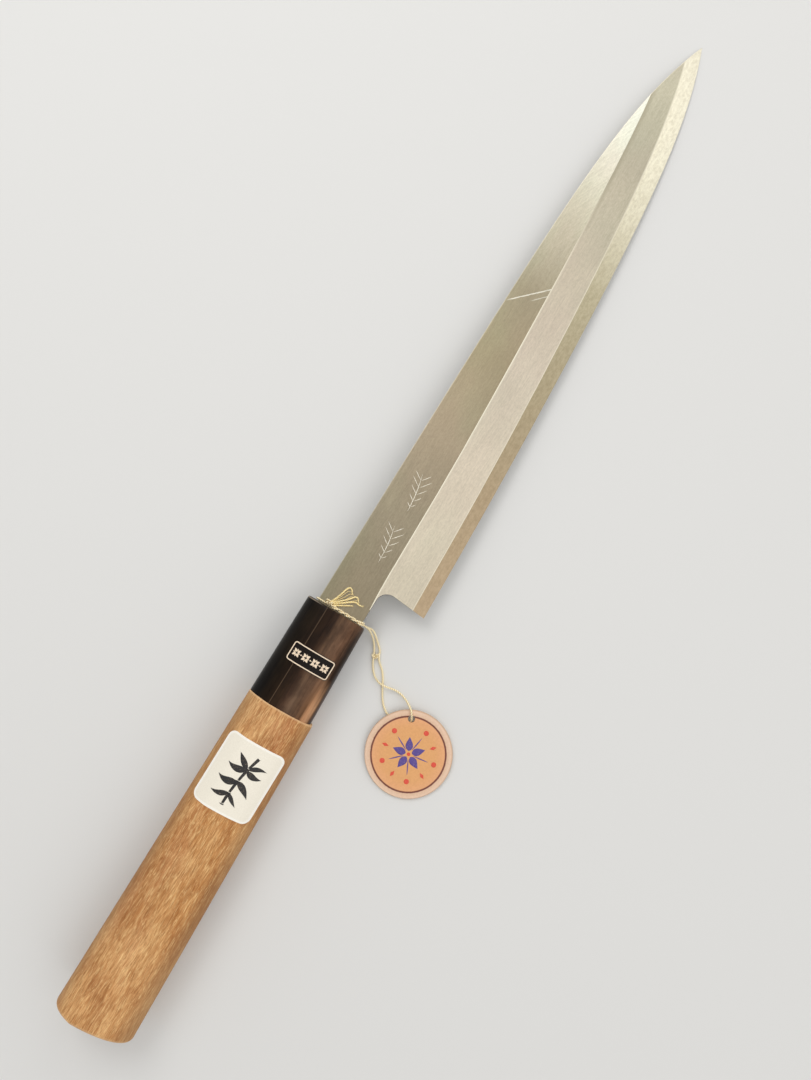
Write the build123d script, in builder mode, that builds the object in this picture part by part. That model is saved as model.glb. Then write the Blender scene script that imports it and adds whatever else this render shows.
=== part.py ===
"""A 210 mm yanagiba, the long single-bevel slicing knife, lying on a table with its bevel up.

The knife is measured in its own frame, which lies with it: x runs from the ferrule's mouth to
the point, y from the edge to the spine and is zero along the straight spine, and z is the height
over the flat back of the blade. The knife rests on the lip of its ferrule and on its point, so
that frame leans a little against the table, which is the plane z = 0.
"""

import math
import os

from build123d import *

# Blade, in millimetres
edge_length = 210.0
neck_length = 12.0
neck_width = 15.0
heel_width = 30.2
heel_rake = 1.2
choil_radius = 3.8
tip_drop = 11.55
bevel_width = 15.45
heel_thickness = 3.4
tip_thickness = 2.0
steel_thickness = 0.93
steel_setback = 6.0
edge_land = 0.1

# Hollow ground into the flat back
hollow_radius = 228.0
rim_width = 1.4

# Tang
tang_length = 96.0
tang_width = 9.0
tang_end_width = 4.6
tang_thickness = 3.1
tang_end_thickness = 2.0
tang_clearance = 0.15
mortise_spare = 1.0
seal_depth = 5.0
seal_wall = 0.5

# Horn ferrule and wooden grip, each given at its front and its rear
handle_length = 134.0
ferrule_length = 32.5
ferrule_front_width = 19.6
ferrule_rear_width = 20.6
ferrule_front_top = 9.3
ferrule_rear_top = 9.7
ferrule_front_depth = 6.0
ferrule_rear_depth = 6.3
ferrule_stand = 3.05
ferrule_chamfer = 0.5
grip_front_width = 21.5
grip_rear_width = 24.15
grip_front_top = 10.0
grip_rear_top = 11.0
grip_front_depth = 6.5
grip_rear_depth = 7.2
grip_stand = 3.2
grip_chamfer = 1.0
ridge_offset = 7.3
spine_side_height = 3.2
edge_side_height = 0.8
tenon_diameter = 12.4
tenon_clearance = 0.05

# Paper labels
label_thickness = 0.15
grip_label_length = 21.9
grip_label_width = 18.2
grip_label_corner = 2.1
grip_label_setback = 11.4
ferrule_label_length = 6.15
ferrule_label_width = 13.7
ferrule_label_corner = 0.9
ferrule_label_setback = 12.9
label_centre_drop = 8.1

# Gold thread and its knots
thread_diameter = 0.7
thread_sides = 6
tie_offset = 0.6
tie_gap = 0.08
tie_corner_radius = 0.5
tie_end_height = 2.55
tie_back_end = 0.3
tie_knot_length = 2.3
tie_knot_diameter = 1.5
tie_knot_drop = 3.2
tie_knot_lift = 0.1
ends_diameter = 0.55
ends_lift = 0.1
thread_knot_length = 2.8
thread_knot_diameter = 1.5
thread_knot_spot = (-49.55, -10.05)
thread_knot_lean = 62.0

# Card tag
tag_diameter = 27.0
tag_thickness = 0.7
tag_hole_diameter = 2.2
tag_hole_offset = 10.7
tag_lift = 1.2
tag_spot = (-69.6, -34.2)
tag_turn = 26.5

# Overrun of every cutting tool
overrun = 5.0

# Shares of the sizes above
straight_spine_share = 0.36
spine_fall_shares = (0.25, 0.75)
edge_rise_shares = (0.17, 0.43, 0.40)
bevel_narrowing_share = 0.32
station_shares = (0.0, 0.2, 0.4, 0.55, 0.7, 0.8, 0.88, 0.94, 1.0)
tool_start_share = -0.03
tool_end_share = 1.04
hollow_shares = (0.008, 0.05, 0.2, 0.4, 0.6, 0.75, 0.85, 0.92)
hollow_entry_share = 0.12
round_share = 0.56
ridge_inner_slope_share = 0.30
ridge_outer_slope_share = 0.10
foot_width_share = 0.36
foot_centre_share = 0.52
knot_shares = ((-1.0, 0.0), (-0.8, 0.6), (0.0, 1.0), (0.8, 0.6), (1.0, 0.0))

# Route of the thread from the tie to the tag and back, in the table's frame
thread_route = (
    (-43.215, -1.93, 8.53),
    (-43.245, -1.93, 7.40),
    (-43.20, -3.40, 6.20),
    (-43.90, -5.00, 4.30),
    (-45.00, -6.30, 2.20),
    (-46.40, -7.60, 0.75),
    (-48.20, -8.75, 0.55),
    (-50.20, -9.65, 0.65),
    (-52.30, -10.70, 0.50),
    (-54.20, -12.10, 0.52),
    (-55.50, -13.80, 0.85),
    (-56.05, -15.70, 1.55),
    (-55.90, -17.60, 1.60),
    (-55.45, -19.60, 1.05),
    (-55.25, -21.70, 0.80),
    (-55.60, -23.90, 1.25),
    (-56.50, -26.00, 2.00),
    (-57.70, -27.90, 2.55),
    (-59.25, -29.03, 2.48),
    (-60.08, -29.46, 1.42),
    (-60.90, -29.88, 0.50),
    (-62.30, -29.50, 0.43),
    (-63.30, -27.90, 0.38),
    (-63.60, -25.80, 0.37),
    (-63.30, -23.50, 0.38),
    (-62.30, -21.30, 0.37),
    (-60.60, -19.40, 0.38),
    (-58.40, -17.90, 0.37),
    (-56.10, -16.60, 0.38),
    (-53.90, -15.40, 0.37),
    (-52.00, -13.90, 0.42),
    (-50.70, -12.10, 0.55),
    (-49.20, -11.00, 0.70),
    (-47.60, -10.50, 0.55),
    (-46.30, -9.20, 0.60),
    (-45.20, -7.90, 1.00),
    (-43.90, -6.60, 2.20),
    (-42.95, -5.00, 3.70),
    (-43.295, -3.40, 5.55),
    (-43.295, -1.80, 5.55),
)

# Loose ends of the tie on the blade's face, as x and y in the knife's frame
end_routes = (
    ((1.6, -3.6), (3.6, -4.7), (5.7, -5.5), (7.4, -6.3), (8.1, -7.6)),
    ((1.6, -4.3), (3.1, -6.0), (4.8, -7.3), (6.2, -8.7), (6.7, -10.4)),
    ((1.4, -4.9), (2.6, -6.8), (4.0, -8.5), (5.1, -10.1), (5.4, -11.9)),
    ((1.25, -5.85), (1.8, -7.1), (2.9, -8.4), (3.6, -9.9)),
)

# Frame of the knife, leaning on the ferrule's lip and the point
reach = neck_length + edge_length
lean = math.atan2(ferrule_front_depth, reach)
middle = (reach - handle_length) / 2 * math.cos(lean)
knife = Plane(
    origin=(-middle, (heel_width - grip_stand) / 2, reach * math.sin(lean)),
    x_dir=(math.cos(lean), 0, -math.sin(lean)),
    z_dir=(math.sin(lean), 0, math.cos(lean)),
)
taper = (heel_thickness - tip_thickness) / edge_length
neck_thickness = heel_thickness + taper * neck_length
tang_y = -neck_width / 2
tang_z = neck_thickness / 2


def spot(x, y, z):
    """A point of the knife's frame, as a point of the table's."""
    return knife.from_local_coords((x, y, z))


def station(x):
    """The plane across the knife at x, with y to its right and z up."""
    return Plane(origin=spot(x, 0, 0), x_dir=knife.y_dir, z_dir=knife.x_dir)


def spine_y(x):
    """The spine: straight at first, then falling with the second and fifth power of x."""
    start = straight_spine_share * reach
    run = max(0.0, (x - start) / (reach - start))
    slow, fast = spine_fall_shares
    return -tip_drop * (slow * run**2 + fast * run**5)


def edge_y(share):
    """The edge at a share of its length: a line, a parabola and an eighth power added up."""
    line, bow, tip = edge_rise_shares
    rise = line * share + bow * share**2 + tip * abs(share) ** 8
    return -heel_width + (heel_width - tip_drop) * rise


def bevel_at(share):
    """Width of the bevel at a share of the edge, narrowing with the sixth power."""
    return bevel_width * (1 - bevel_narrowing_share * share**6)


def face_z(x):
    """Height of the flat face over the back, falling evenly towards the point."""
    return heel_thickness - taper * (x - neck_length)


def outline(start):
    """The blade seen from above, from x = start at the neck to the point."""
    fall = [straight_spine_share + (1 - straight_spine_share) * s for s in station_shares]
    spine = [(reach * s, spine_y(reach * s)) for s in fall]
    edge = [(neck_length + edge_length * s, edge_y(s)) for s in station_shares]
    with BuildSketch(knife) as plan:
        with BuildLine():
            Line((start, 0), spine[0])
            Spline(*spine, tangents=((1, 0), (reach, -tip_drop * 7.6)))
            Spline(*reversed(edge))
            Polyline(edge[0], (neck_length + heel_rake, -neck_width), (start, -neck_width), (start, 0))
        make_face()
        corner = plan.vertices().sort_by_distance((neck_length + heel_rake, -neck_width, 0))[0]
        fillet(corner, choil_radius)
    return plan.sketch


def bevel_tool():
    """Everything over the bevel: the ruled wedge carried along the blade."""
    sections = []
    for share in (tool_start_share, *station_shares[1:-1], tool_end_share):
        x = neck_length + edge_length * share
        slope = (face_z(x) - edge_land) / bevel_at(share)
        low, high = edge_y(share) - overrun, edge_y(share) + 2 * bevel_width
        with BuildSketch(station(x)) as section:
            with BuildLine():
                Polyline(
                    (low, edge_land - overrun * slope),
                    (high, edge_land + 2 * bevel_width * slope),
                    (low, edge_land + 2 * bevel_width * slope),
                    close=True,
                )
            make_face()
        sections.append(section.sketch)
    return loft(sections, mode=Mode.PRIVATE)


def hollow_tool():
    """The hollow of the back: round segments of one radius carried along, a rim inside the outline."""
    sections = []
    for share in hollow_shares:
        x = neck_length + edge_length * share
        low, high = edge_y(share) + rim_width, spine_y(x) - rim_width
        depth = (high - low) ** 2 / (8 * hollow_radius)
        if share == hollow_shares[0]:
            depth *= hollow_entry_share
        with BuildSketch(station(x)) as section:
            with BuildLine():
                ThreePointArc((low, 0), ((low + high) / 2, depth), (high, 0))
                Polyline((high, 0), (high, -overrun), (low, -overrun), (low, 0))
            make_face()
        sections.append(section.sketch)
    return loft(sections, mode=Mode.PRIVATE)


def tang_section(x, grow):
    """Section of the tapered tang at x, grown by a clearance."""
    share = -x / tang_length
    width = tang_width + (tang_end_width - tang_width) * share
    thickness = tang_thickness + (tang_end_thickness - tang_thickness) * share
    with BuildSketch(station(x)) as section:
        with Locations((tang_y, tang_z)):
            Rectangle(width + 2 * grow, thickness + 2 * grow)
    return section.sketch


def handle_section(x, width, top, depth, stand, grow):
    """The D shape of the handle: a ridge over the spine side, round flanks and a narrow flat foot.

    Each flank is a Bezier quarter that leaves the widest point upright and reaches the ridge or
    the foot at its own slope.
    """
    spine_side, edge_side = stand + grow, stand - width - grow
    ridge = (stand - ridge_offset, top + grow)
    foot_z = -depth - grow
    foot = stand - foot_centre_share * width
    foot_near, foot_far = foot + foot_width_share * width / 2, foot - foot_width_share * width / 2
    inner, outer = spine_side - ridge[0], ridge[0] - edge_side
    with BuildSketch(station(x)) as section:
        with BuildLine():
            Bezier(
                (spine_side, spine_side_height),
                (spine_side, spine_side_height + round_share * (ridge[1] - spine_side_height)),
                (ridge[0] + round_share * inner, ridge[1] - round_share * inner * ridge_inner_slope_share),
                ridge,
            )
            Bezier(
                ridge,
                (ridge[0] - round_share * outer, ridge[1] - round_share * outer * ridge_outer_slope_share),
                (edge_side, edge_side_height + round_share * (ridge[1] - edge_side_height)),
                (edge_side, edge_side_height),
            )
            Bezier(
                (edge_side, edge_side_height),
                (edge_side, edge_side_height + round_share * (foot_z - edge_side_height)),
                (foot_far + round_share * (edge_side - foot_far), foot_z),
                (foot_far, foot_z),
            )
            Line((foot_far, foot_z), (foot_near, foot_z))
            Bezier(
                (foot_near, foot_z),
                (foot_near + round_share * (spine_side - foot_near), foot_z),
                (spine_side, spine_side_height + round_share * (foot_z - spine_side_height)),
                (spine_side, spine_side_height),
            )
        make_face()
    return section.sketch


def ferrule_section(x, grow=0.0):
    """Section of the ferrule at x, between its front and its rear sizes."""
    share = -x / ferrule_length
    return handle_section(
        x,
        ferrule_front_width + (ferrule_rear_width - ferrule_front_width) * share,
        ferrule_front_top + (ferrule_rear_top - ferrule_front_top) * share,
        ferrule_front_depth + (ferrule_rear_depth - ferrule_front_depth) * share,
        ferrule_stand,
        grow,
    )


def grip_section(x, grow=0.0):
    """Section of the wooden grip at x, between its front and its rear sizes."""
    share = (-x - ferrule_length) / (handle_length - ferrule_length)
    return handle_section(
        x,
        grip_front_width + (grip_rear_width - grip_front_width) * share,
        grip_front_top + (grip_rear_top - grip_front_top) * share,
        grip_front_depth + (grip_rear_depth - grip_front_depth) * share,
        grip_stand,
        grow,
    )


def bend_radii(route):
    """The radius of each corner: 0.45 of its shorter run over the tangent of half the turn."""
    points = [Vector(*point) for point in route]
    radii = []
    for before, here, after in zip(points, points[1:], points[2:]):
        run_in, run_out = here - before, after - here
        half_turn = math.radians(run_in.get_angle(run_out)) / 2
        radii.append(0.45 * min(run_in.length, run_out.length) / math.tan(half_turn))
    return radii


def tube(route, diameter, radii):
    """A six-sided thread along straight runs joined by arcs, its volume set against its length."""
    with BuildPart() as made:
        with BuildLine() as path:
            FilletPolyline(*route, radius=radii)
        line = path.wires()[0]
        with BuildSketch(Plane(origin=line @ 0, z_dir=line % 0)) as section:
            RegularPolygon(diameter / 2, thread_sides)
        sweep(path=line)
    due = section.sketch.area * line.length
    print(f"tube of {line.length:.1f} mm, volume {made.part.volume / due:.4f} of its section times length,")
    print("  radii", " ".join(f"{radius:.2f}" for radius in radii))
    return made


def keep(piece, label):
    """Label a finished piece and write it to its own file."""
    piece.part.label = label
    export_step(piece.part, f"parts/{label}.step")
    print(label, round(piece.part.volume, 1))


os.makedirs("parts", exist_ok=True)
grind = bevel_tool()
flat_slope = math.atan(taper)
flat_face = Plane(
    origin=spot(neck_length, 0, heel_thickness),
    z_dir=knife.x_dir * math.sin(flat_slope) + knife.z_dir * math.cos(flat_slope),
)

# Soft iron: the flat face, the upper bevel, the neck and the tang in one forging
with BuildPart() as blade_iron:
    add(outline(0))
    extrude(amount=neck_thickness + overrun, dir=knife.z_dir)
    split(bisect_by=flat_face, keep=Keep.BOTTOM)
    add(outline(steel_setback))
    extrude(amount=steel_thickness, dir=knife.z_dir, mode=Mode.SUBTRACT)
    add(grind, mode=Mode.SUBTRACT)
    loft([tang_section(0, 0), tang_section(-tang_length, 0)])
keep(blade_iron, "blade_soft_iron")

# Hard steel: the whole back and the strip along the edge
with BuildPart() as blade_steel:
    add(outline(steel_setback))
    extrude(amount=steel_thickness, dir=knife.z_dir)
    add(grind, mode=Mode.SUBTRACT)
    add(hollow_tool(), mode=Mode.SUBTRACT)
keep(blade_steel, "blade_hard_steel")

# Magnolia grip with a round tenon through the ferrule and a mortise for the tang
with BuildPart() as grip:
    loft(
        [
            grip_section(-ferrule_length),
            grip_section(-handle_length + grip_chamfer),
            grip_section(-handle_length, -grip_chamfer),
        ],
        ruled=True,
    )
    with BuildSketch(station(-ferrule_length)):
        with Locations((tang_y, tang_z)):
            Circle(tenon_diameter / 2)
    extrude(amount=ferrule_length)
    mortise_end = -tang_length - mortise_spare
    loft([tang_section(0, tang_clearance), tang_section(mortise_end, tang_clearance)], mode=Mode.SUBTRACT)
    loft([tang_section(0, seal_wall), tang_section(-seal_depth, seal_wall)], mode=Mode.SUBTRACT)
keep(grip, "wood_handle")

# Horn ferrule, bored through for the tenon
with BuildPart() as ferrule:
    loft(
        [
            ferrule_section(0, -ferrule_chamfer),
            ferrule_section(-ferrule_chamfer),
            ferrule_section(-ferrule_length),
        ],
        ruled=True,
    )
    with BuildSketch(station(-ferrule_length)):
        with Locations((tang_y, tang_z)):
            Circle(tenon_diameter / 2 + tenon_clearance)
    extrude(amount=ferrule_length, mode=Mode.SUBTRACT)
keep(ferrule, "horn_ferrule")

# Resin round the tang at the mouth
with BuildPart() as tang_seal:
    loft([tang_section(0, seal_wall), tang_section(-seal_depth, seal_wall)])
    loft([tang_section(0, 0), tang_section(-seal_depth, 0)], mode=Mode.SUBTRACT)
keep(tang_seal, "tang_seal")


def label_sketch(start, length, width, corner):
    """A label's rounded outline over the handle, from its front edge backwards."""
    with BuildSketch(knife) as plan:
        with Locations((-start - length / 2, -label_centre_drop)):
            RectangleRounded(length, width, corner)
    return plan.sketch


# Paper labels, each a skin over the handle cut to its outline
with BuildPart() as grip_label:
    ends = (-ferrule_length, -handle_length + grip_chamfer)
    loft([grip_section(x, label_thickness) for x in ends], ruled=True)
    loft([grip_section(x) for x in ends], ruled=True, mode=Mode.SUBTRACT)
    grip_label_start = ferrule_length + grip_label_setback
    add(label_sketch(grip_label_start, grip_label_length, grip_label_width, grip_label_corner))
    extrude(amount=grip_rear_top + overrun, dir=knife.z_dir, mode=Mode.INTERSECT)
keep(grip_label, "handle_label")

with BuildPart() as ferrule_label:
    ends = (-ferrule_chamfer, -ferrule_length)
    loft([ferrule_section(x, label_thickness) for x in ends], ruled=True)
    loft([ferrule_section(x) for x in ends], ruled=True, mode=Mode.SUBTRACT)
    add(label_sketch(ferrule_label_setback, ferrule_label_length, ferrule_label_width, ferrule_label_corner))
    extrude(amount=grip_rear_top + overrun, dir=knife.z_dir, mode=Mode.INTERSECT)
keep(ferrule_label, "ferrule_label")

# Tie: one turn of thread round the neck against the ferrule, open where the thread hangs off
tie_out = thread_diameter / 2 + tie_gap
tie_top = face_z(tie_offset) + tie_out
tie_route = [
    spot(tie_offset, y, z)
    for y, z in (
        (-neck_width - tie_out, tie_end_height),
        (-neck_width - tie_out, tie_top),
        (tie_out, tie_top),
        (tie_out, -tie_out),
        (-neck_width - tie_back_end, -tie_out),
    )
]
neck_tie = tube(tie_route, thread_diameter, [tie_corner_radius] * (len(tie_route) - 2))
keep(neck_tie, "neck_tie")


def knot(plane, length, diameter):
    """A pulled-tight knot: five points of an ellipse, turned about its long axis, the plane's x."""
    with BuildPart() as made:
        with BuildSketch(plane):
            with BuildLine():
                Polyline(*((length / 2 * x, diameter / 2 * y) for x, y in knot_shares), close=True)
            make_face()
        revolve(axis=Axis(plane.origin, plane.x_dir))
    return made


knot_z = face_z(tie_offset) + tie_knot_lift + tie_knot_diameter / 2
knot_spot = spot(tie_offset + tie_out, -tie_knot_drop, knot_z)
knot_plane = Plane(origin=knot_spot, x_dir=knife.y_dir, z_dir=knife.z_dir)
tie_knot = knot(knot_plane, tie_knot_length, tie_knot_diameter)
keep(tie_knot, "tie_knot")

# Four loose ends of the tie, lying on the blade
with BuildPart() as thread_ends:
    for flat_route in end_routes:
        route = [spot(x, y, face_z(x) + ends_lift + ends_diameter / 2) for x, y in flat_route]
        add(tube(route, ends_diameter, bend_radii(route)).part)
keep(thread_ends, "thread_ends")

# Thread to the tag and back, and the knot that holds its two strands
tag_thread = tube(thread_route, thread_diameter, bend_radii(thread_route))
keep(tag_thread, "tag_thread")
knot_turn = math.radians(-thread_knot_lean)
knot_spot = Vector(*thread_knot_spot, thread_knot_diameter / 2)
knot_plane = Plane(origin=knot_spot, x_dir=(math.cos(knot_turn), math.sin(knot_turn), 0), z_dir=(0, 0, 1))
thread_knot = knot(knot_plane, thread_knot_length, thread_knot_diameter)
keep(thread_knot, "thread_knot")

# Card tag, one side of its rim on the table and the other on the thread
tag_lean = math.asin(tag_lift / tag_diameter)
tag_way = Vector(math.cos(math.radians(tag_turn)), math.sin(math.radians(tag_turn)), 0)
tag_plane = Plane(
    origin=Vector(*tag_spot, 0) - tag_way * (tag_diameter / 2),
    x_dir=tag_way * math.cos(tag_lean) + Vector(0, 0, math.sin(tag_lean)),
    z_dir=Vector(0, 0, math.cos(tag_lean)) - tag_way * math.sin(tag_lean),
)
with BuildPart() as tag:
    with BuildSketch(tag_plane):
        with Locations((tag_diameter / 2, 0)):
            Circle(tag_diameter / 2)
        with Locations((tag_diameter / 2 + tag_hole_offset, 0)):
            Circle(tag_hole_diameter / 2, mode=Mode.SUBTRACT)
    extrude(amount=tag_thickness)
keep(tag, "paper_tag")
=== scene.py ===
"""A yanagiba lying on a pale table with its bevel up, a card tag hanging from its neck.

Shapes are worked out in millimetres in the knife's own frame: x runs from the ferrule's mouth to
the point, y from the edge to the spine, and z is the height over the flat back of the blade.
"""

import math

import bmesh
import bpy
import numpy as np
from mathutils import Matrix, Vector


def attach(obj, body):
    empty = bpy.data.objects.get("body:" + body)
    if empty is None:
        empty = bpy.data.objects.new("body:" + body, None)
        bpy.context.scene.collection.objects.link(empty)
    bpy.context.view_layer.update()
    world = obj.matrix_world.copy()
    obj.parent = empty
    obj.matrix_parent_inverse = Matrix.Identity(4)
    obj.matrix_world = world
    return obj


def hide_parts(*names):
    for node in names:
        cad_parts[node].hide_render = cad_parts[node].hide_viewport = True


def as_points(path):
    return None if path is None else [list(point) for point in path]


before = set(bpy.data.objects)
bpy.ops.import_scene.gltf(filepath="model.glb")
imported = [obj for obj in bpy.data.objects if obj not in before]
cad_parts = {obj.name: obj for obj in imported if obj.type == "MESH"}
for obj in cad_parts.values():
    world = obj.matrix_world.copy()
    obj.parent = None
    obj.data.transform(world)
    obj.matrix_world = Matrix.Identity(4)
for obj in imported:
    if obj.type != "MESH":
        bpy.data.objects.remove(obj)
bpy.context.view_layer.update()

MM = 0.001

# Knife, as in the frame
REACH = 222.0
NECK_LENGTH = 12.0
NECK_WIDTH = 15.0
HEEL_THICKNESS = 3.4
TIP_THICKNESS = 2.0
EDGE_LENGTH = REACH - NECK_LENGTH
HANDLE_LENGTH = 134.0
FERRULE_LENGTH = 32.5
LIP_DEPTH = 6.0
HALF_STAND = 13.5
LEAN = math.atan2(LIP_DEPTH, REACH)
ALONG = np.array([math.cos(LEAN), 0, -math.sin(LEAN)])
UP = np.array([math.sin(LEAN), 0, math.cos(LEAN)])
MOUTH = np.array([-(REACH - HANDLE_LENGTH) / 2 * math.cos(LEAN), HALF_STAND, REACH * math.sin(LEAN)])

TAPER = (HEEL_THICKNESS - TIP_THICKNESS) / EDGE_LENGTH
STEEL_THICKNESS = 0.93
TIP_DROP = 11.55
SPINE_STRAIGHT = 0.36 * REACH

# Scuffs across the face: x where it would meet the spine, slant, width, strength, y where it starts
SCUFFS = ((110.7, 1.0, 0.36, 0.7, -0.5), (107.5, 1.04, 0.3, 0.45, -7.0))

# Handle sections, front and rear: width, height of the ridge, depth, reach to the spine side
FERRULE_FRONT = np.array([19.6, 9.3, 6.0, 3.05])
FERRULE_REAR = np.array([20.6, 9.7, 6.3, 3.05])
GRIP_FRONT = np.array([21.5, 10.0, 6.5, 3.2])
GRIP_REAR = np.array([24.15, 11.0, 7.2, 3.2])
RIDGE_OFFSET = 7.3
SPINE_SIDE_HEIGHT = 3.2
EDGE_SIDE_HEIGHT = 0.8
ROUND_SHARE = 0.56
INNER_SLOPE = 0.3
OUTER_SLOPE = 0.1
FOOT_WIDTH_SHARE = 0.36
FOOT_CENTRE_SHARE = 0.52
WOOD_MIDDLE = 8.2
SECTION_POINTS = 360
SECTION_WINDOW = 3
BUTT_ROUNDING = 1.0
WOOD_LIP_ROUNDING = 0.35
HORN_LIP_ROUNDING = 0.5
TENON_RADIUS = 6.2
BORE_RADIUS = 6.25
SLOT_CENTRE = np.array([-7.5, 1.74])
SLOT_HALF = np.array([5.0, 2.05])
SLOT_DEPTH = 5.0

# Paper on the handle
LABEL_THICKNESS = 0.15
GRIP_LABEL = {"centre": (-54.85, -8.1), "size": (21.9, 18.2), "corner": 2.1}
FERRULE_LABEL = {"centre": (-15.975, -8.1), "size": (6.15, 13.7), "corner": 0.9}
PRINT_THICKNESS = 0.02

# Thread and tag
THREAD = 0.7
FINE_THREAD = 0.62
THREAD_PITCH = 1.5
TIE_AT = 0.6
TIE_OUT = THREAD / 2 + 0.08
TIE_PITCH = 4.4
TAG_SPOT = np.array([-69.6, -34.2])
TAG_RADIUS = 13.5
TAG_THICKNESS = 0.7
TAG_HOLE_RADIUS = 1.1
TAG_HOLE_OFFSET = 10.7
TAG_LIFT = 1.2
TAG_TURN = math.radians(26.5)

# Route of the thread from the tie to the tag and back, in millimetres on the table
THREAD_ROUTE = (
    (-43.215, -1.93, 8.53), (-43.245, -1.93, 7.4), (-43.2, -3.4, 6.2), (-43.9, -5.0, 4.3),
    (-45.0, -6.3, 2.2), (-46.4, -7.6, 0.75), (-48.2, -8.75, 0.55), (-50.2, -9.65, 0.65),
    (-52.3, -10.7, 0.5), (-54.2, -12.1, 0.52), (-55.5, -13.8, 0.85), (-56.05, -15.7, 1.55),
    (-55.9, -17.6, 1.6), (-55.45, -19.6, 1.05), (-55.25, -21.7, 0.8), (-55.6, -23.9, 1.25),
    (-56.5, -26.0, 2.0), (-57.7, -27.9, 2.55), (-59.25, -29.03, 2.48), (-60.08, -29.46, 1.42),
    (-60.9, -29.88, 0.5), (-62.3, -29.5, 0.43), (-63.3, -27.9, 0.38), (-63.6, -25.8, 0.37),
    (-63.3, -23.5, 0.38), (-62.3, -21.3, 0.37), (-60.6, -19.4, 0.38), (-58.4, -17.9, 0.37),
    (-56.1, -16.6, 0.38), (-53.9, -15.4, 0.37), (-52.0, -13.9, 0.42), (-50.7, -12.1, 0.55),
    (-49.2, -11.0, 0.7), (-47.6, -10.5, 0.55), (-46.3, -9.2, 0.6), (-45.2, -7.9, 1.0),
    (-43.9, -6.6, 2.2), (-42.95, -5.0, 3.7), (-43.295, -3.4, 5.55), (-43.295, -1.8, 5.55),
)
THREAD_KNOT_SPOT = (-49.55, -10.05, 0.78)
THREAD_KNOT_TURN = math.radians(-62)
END_ROUTES = (
    ((1.25, -3.5), (2.6, -4.2), (4.15, -4.8), (5.75, -5.35), (7.5, -5.8), (8.4, -6.5), (8.0, -7.3),
     (7.4, -7.7)),
    ((1.3, -3.6), (2.1, -4.7), (3.5, -6.2), (4.6, -7.5), (5.7, -8.4), (6.75, -9.2), (6.9, -10.1),
     (6.2, -10.6)),
    ((1.2, -3.8), (2.0, -5.15), (2.9, -6.6), (4.1, -8.1), (5.0, -9.4), (5.5, -10.5), (5.1, -11.3),
     (5.3, -12.1)),
    ((1.25, -4.9), (1.9, -6.3), (2.9, -7.9), (3.7, -9.4)),
)
HAIR_ROUTES = (
    ((1.3, -3.6), (2.5, -4.3), (4.2, -5.4), (5.9, -6.0), (7.3, -6.6), (7.3, -7.5)),
    ((1.3, -3.7), (2.6, -4.7), (4.2, -6.0), (5.6, -6.9), (6.8, -7.4), (6.9, -8.2)),
    ((1.3, -3.7), (2.4, -5.0), (3.7, -6.5), (5.0, -7.5), (6.2, -8.0), (6.8, -8.7)),
    ((1.3, -3.8), (2.2, -5.1), (3.3, -6.8), (4.5, -8.3), (5.6, -9.6), (6.1, -10.3)),
)

# Camera, straight above the heel
CAMERA_SPOT = Vector((-33.62, -11.21, 254.04)) * MM
CAMERA_FORWARD = Vector((0.07743, 0.04711, -0.99588))
CAMERA_UP = Vector((0.8508, 0.51761, 0.09063))
FOCAL_PIXELS = 811
FRAME_HEIGHT_PIXELS = 1080

# Sky: its level overhead, how much it gains from low to high of a direction's x or y, and the
# even level that takes over towards the horizon
SKY_LEVEL = 0.66
SKY_SLOPES = ((0, 0.05, 0.7, 0.36), (1, 0.0, -0.5, 0.16), (1, 0.1, 0.6, -0.28))
HORIZON_LEVEL = 0.76
HORIZON_REACH = (0.2, 0.55)

# Half the floor's side, and the distances over which it fades into the horizon, in metres
FLOOR_REACH = 3.0
FLOOR_FADE = (0.3, 0.9)

# Lamps: size and spot in metres, power in watts
LAMPS = (
    ("key", 0.4, (0.28, 0.42, 0.62), 1.9),
    ("fill", 0.5, (-0.1, -0.5, 0.55), 0.6),
    ("rake", 0.3, (0.62, 0.05, 0.45), 0.35),
)


def on_table(points):
    """Points of the knife's frame, in millimetres, as points on the table, in metres."""
    return (np.asarray(points, float) @ np.array([ALONG, (0, 1, 0), UP]) + MOUTH) * MM


def colour(red, green, blue):
    """A display colour from 0 to 255, as the linear colour that a shader takes."""
    share = np.array([red, green, blue]) / 255
    linear = np.where(share <= 0.04045, share / 12.92, ((share + 0.055) / 1.055) ** 2.4)
    return (*linear.tolist(), 1.0)


class Value:
    """An output of a node that takes arithmetic, each step of which is one more node."""

    def __init__(self, nodes, socket):
        self.nodes = nodes
        self.socket = socket

    def __add__(self, other):
        return self.nodes.maths("ADD", self, other)

    def __sub__(self, other):
        return self.nodes.maths("SUBTRACT", self, other)

    def __mul__(self, other):
        return self.nodes.maths("MULTIPLY", self, other)

    def __pow__(self, other):
        return self.nodes.maths("POWER", self, other)

    def __abs__(self):
        return self.nodes.maths("ABSOLUTE", self)


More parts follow.
